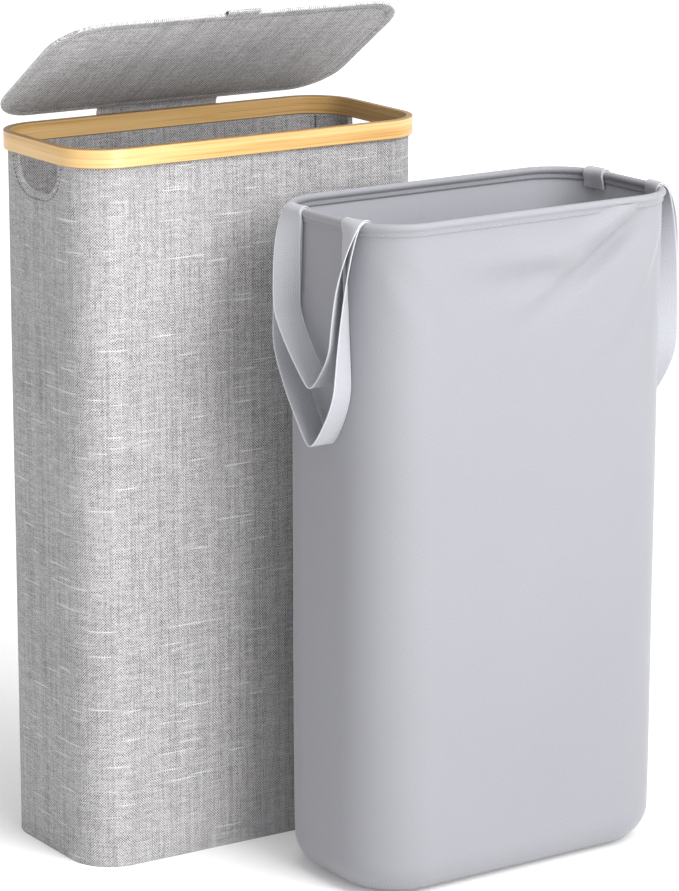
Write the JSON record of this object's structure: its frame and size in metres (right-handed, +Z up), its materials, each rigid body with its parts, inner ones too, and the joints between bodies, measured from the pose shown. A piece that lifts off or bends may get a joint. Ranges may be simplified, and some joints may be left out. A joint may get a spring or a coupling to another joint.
{
  "type": "laundry hamper with lift-out bag",
  "caption": "Slim upright fabric laundry hamper with a bent bamboo rim, a flap-hinged lid and hand holes, with its lift-out liner bag with strap loops standing beside it.",
  "frame": {"origin": "middle of the hamper's flat base, on the floor", "axes": "+Z up, +X along the hamper's long side, +Y towards the lid's hinge at the back"},
  "size_m": [0.5566, 0.4257, 0.817],
  "materials": {
    "bamboo": "satin lacquer",
    "grey_linen_cloth": "coarse woven heather",
    "edge_binding": "woven tape",
    "stiffener_board": "plain grey board",
    "hook_tape": "hook and loop tape",
    "liner_cloth": "fine woven polyester",
    "hoop_wire": "bright wire",
    "webbing": "flat woven tape"
  },
  "bodies": {
    "hamper": {"rim_band": "bamboo", "outer_cover": "grey_linen_cloth", "inner_lining": "grey_linen_cloth", "base_cover": "grey_linen_cloth", "base_board": "stiffener_board", "floor_lining": "grey_linen_cloth", "front_board": "stiffener_board", "back_board": "stiffener_board", "left_board": "stiffener_board", "right_board": "stiffener_board", "corner_board_left_front": "stiffener_board", "corner_board_left_back": "stiffener_board", "corner_board_right_front": "stiffener_board", "corner_board_right_back": "stiffener_board", "hand_hole_binding_left": "edge_binding", "hand_hole_binding_right": "edge_binding", "fastening_strip": "hook_tape", "flap_fixed_end": "grey_linen_cloth"},
    "lid": {"lid_underside": "grey_linen_cloth", "lid_board": "stiffener_board", "lid_top_cover": "grey_linen_cloth", "lid_pull_tab": "grey_linen_cloth", "flap_lid_end": "grey_linen_cloth"},
    "bag": {"bag_walls": "liner_cloth", "bag_base": "liner_cloth", "bag_rim_piping": "liner_cloth", "bag_rim_hoop": "hoop_wire", "long_strap_ends_left": "webbing", "long_strap_ends_right": "webbing", "short_strap_ends_left": "webbing", "short_strap_ends_right": "webbing"},
    "straps_left": {"long_strap_left": "webbing", "short_strap_left": "webbing"},
    "straps_right": {"long_strap_right": "webbing", "short_strap_right": "webbing"}
  },
  "joints": [
    {"name": "lid_hinge", "type": "hinge", "parent": "hamper", "child": "lid", "pos_m": [0, 0.1022, 0.7009], "axis": [-1, 0, 0], "range_deg": [-33.6, 226]},
    {"name": "bag_lift", "type": "slide", "parent": "hamper", "child": "bag", "axis": [0, 0, 1], "range_m": [0, 0.75]},
    {"name": "straps_left_swing", "type": "hinge", "parent": "bag", "child": "straps_left", "pos_m": [-0.0281, -0.23451, 0.64], "axis": [-0.0244, 0.9997, 0], "range_deg": [0, 170]},
    {"name": "straps_right_swing", "type": "hinge", "parent": "bag", "child": "straps_right", "pos_m": [0.34129, -0.22548, 0.64], "axis": [0.0244, -0.9997, 0], "range_deg": [0, 170]}
  ]
}
